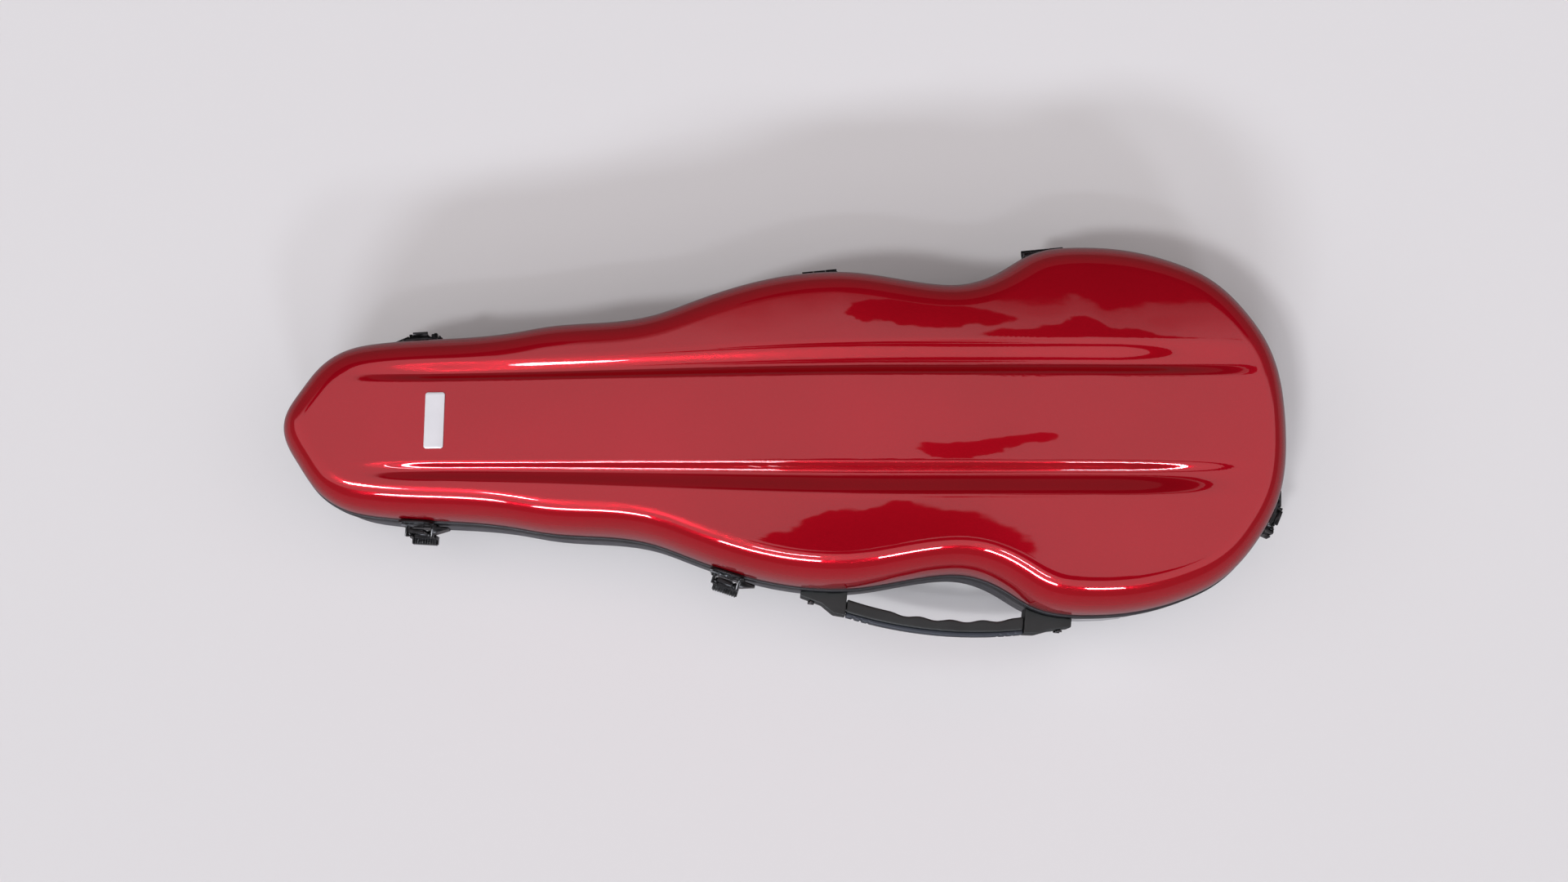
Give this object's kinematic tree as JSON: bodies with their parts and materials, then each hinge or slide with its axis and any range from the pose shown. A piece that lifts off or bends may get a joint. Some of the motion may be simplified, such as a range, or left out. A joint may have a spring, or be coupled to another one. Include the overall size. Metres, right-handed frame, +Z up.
{
  "type": "violin case",
  "caption": "Contoured hard violin case with a glossy domed lid on rear hinges, draw latches, a waist handle and a padded interior.",
  "frame": {"origin": "on the floor under the middle of the case, midway between the tip of the neck end and the wide end, on the centreline", "axes": "+X towards the wide end, +Y towards the hinges, +Z up out of the lid; the case lies on its feet"},
  "size_m": [0.7978, 0.3164, 0.14],
  "materials": {
    "red_lacquer": "deep red metallic high gloss lacquer on moulded composite",
    "base_plastic": "satin black moulded composite",
    "rim_plastic": "satin black moulding",
    "plush_lining": "short dark plush over foam",
    "plate_silver": "pale satin foil, blank",
    "soft_rubber": "matte black rubber",
    "grip_plastic": "fine grained black moulding",
    "grip_rubber": "satin dark grey soft moulding",
    "webbing": "black woven webbing",
    "hardware_plastic": "fine grained black moulding",
    "dark_steel": "black oxide steel",
    "latch_metal": "semi gloss black coated metal"
  },
  "bodies": {
    "base": {"side_sticker": "plate_silver", "base_shell": "base_plastic", "base_rim": "rim_plastic", "rim_gasket": "soft_rubber", "base_liner": "plush_lining", "cavity_pads": "plush_lining", "neck_cradle": "plush_lining", "neck_strap": "webbing", "accessory_tray": "plush_lining", "feet": "soft_rubber", "base_leaf_upper": "latch_metal", "base_leaf_lower": "latch_metal", "base_leaf_rivets": "dark_steel", "hinge_pins": "dark_steel", "latch_plate_front_neck": "latch_metal", "latch_plate_front_body": "latch_metal", "latch_plate_back_neck": "latch_metal", "latch_plate_end": "latch_metal", "latch_rivets": "dark_steel", "lever_pins": "dark_steel", "bracket_upper": "hardware_plastic", "bracket_lower": "hardware_plastic", "bracket_screws": "dark_steel"},
    "lid": {"lid_shell": "red_lacquer", "lid_rim": "rim_plastic", "lid_liner": "plush_lining", "name_plate": "plate_silver", "keeper_front_neck": "latch_metal", "keeper_front_body": "latch_metal", "keeper_back_neck": "latch_metal", "keeper_end": "latch_metal", "keeper_rivets": "dark_steel", "lid_leaf_upper": "latch_metal", "lid_leaf_lower": "latch_metal", "lid_leaf_rivets": "dark_steel", "bow_posts": "hardware_plastic", "bow_tip_loops": "webbing"},
    "bow_clip_left": {"bow_clip_left": "grip_plastic"},
    "bow_clip_right": {"bow_clip_right": "grip_plastic"},
    "handle": {"handle_grip": "grip_plastic", "handle_band": "grip_rubber", "handle_pins": "dark_steel"},
    "lever_front_neck": {"lever_front_neck": "latch_metal", "hook_pin_front_neck": "dark_steel"},
    "hook_front_neck": {"hook_front_neck": "latch_metal"},
    "lever_front_body": {"lever_front_body": "latch_metal", "hook_pin_front_body": "dark_steel"},
    "hook_front_body": {"hook_front_body": "latch_metal"},
    "lever_back_neck": {"lever_back_neck": "latch_metal", "hook_pin_back_neck": "dark_steel"},
    "hook_back_neck": {"hook_back_neck": "latch_metal"},
    "lever_end": {"lever_end": "latch_metal", "hook_pin_end": "dark_steel"},
    "hook_end": {"hook_end": "latch_metal"}
  },
  "joints": [
    {"name": "lid_hinge", "type": "hinge", "parent": "base", "child": "lid", "pos_m": [0, 0.129, 0.0742], "axis": [-0.995, -0.0995, 0], "range_deg": [0, 100]},
    {"name": "handle_swing", "type": "hinge", "parent": "base", "child": "handle", "pos_m": [0.12, -0.1465, 0.059], "axis": [0.995, -0.0995, 0], "range_deg": [-75, 75]},
    {"name": "lever_turn_front_neck", "type": "hinge", "parent": "base", "child": "lever_front_neck", "pos_m": [-0.28944, -0.08059, 0.0662], "axis": [-0.9982, 0.0593, 0], "range_deg": [0, 110]},
    {"name": "hook_turn_front_neck", "type": "hinge", "parent": "lever_front_neck", "child": "hook_front_neck", "pos_m": [-0.28935, -0.07909, 0.0572], "axis": [-0.9982, 0.0593, 0], "range_deg": [-110, 0]},
    {"name": "lever_turn_front_body", "type": "hinge", "parent": "base", "child": "lever_front_body", "pos_m": [-0.04576, -0.12041, 0.0662], "axis": [-0.9478, 0.319, 0], "range_deg": [0, 110]},
    {"name": "hook_turn_front_body", "type": "hinge", "parent": "lever_front_body", "child": "hook_front_body", "pos_m": [-0.04528, -0.11899, 0.0572], "axis": [-0.9478, 0.319, 0], "range_deg": [-110, 0]},
    {"name": "lever_turn_back_neck", "type": "hinge", "parent": "base", "child": "lever_back_neck", "pos_m": [-0.29244, 0.08049, 0.0662], "axis": [0.9982, 0.0593, 0], "range_deg": [0, 110]},
    {"name": "hook_turn_back_neck", "type": "hinge", "parent": "lever_back_neck", "child": "hook_back_neck", "pos_m": [-0.29235, 0.07899, 0.0572], "axis": [0.9982, 0.0593, 0], "range_deg": [-110, 0]},
    {"name": "lever_turn_end", "type": "hinge", "parent": "base", "child": "lever_end", "pos_m": [0.39226, -0.06981, 0.0662], "axis": [-0.4067, -0.9135, 0], "range_deg": [0, 110]},
    {"name": "hook_turn_end", "type": "hinge", "parent": "lever_end", "child": "hook_end", "pos_m": [0.39089, -0.0692, 0.0572], "axis": [-0.4067, -0.9135, 0], "range_deg": [-110, 0]},
    {"name": "clip_turn_left", "type": "hinge", "parent": "lid", "child": "bow_clip_left", "pos_m": [0.175, 0.05, 0.1155], "axis": [0, 0, 1], "range_deg": [-90, 90]},
    {"name": "clip_turn_right", "type": "hinge", "parent": "lid", "child": "bow_clip_right", "pos_m": [0.175, -0.05, 0.1155], "axis": [0, 0, 1], "range_deg": [-90, 90]}
  ],
  "couplings": [
    {"joint": "hook_turn_front_neck", "follows": "lever_turn_front_neck", "ratio": -1},
    {"joint": "hook_turn_front_body", "follows": "lever_turn_front_body", "ratio": -1},
    {"joint": "hook_turn_back_neck", "follows": "lever_turn_back_neck", "ratio": -1},
    {"joint": "hook_turn_end", "follows": "lever_turn_end", "ratio": -1}
  ]
}
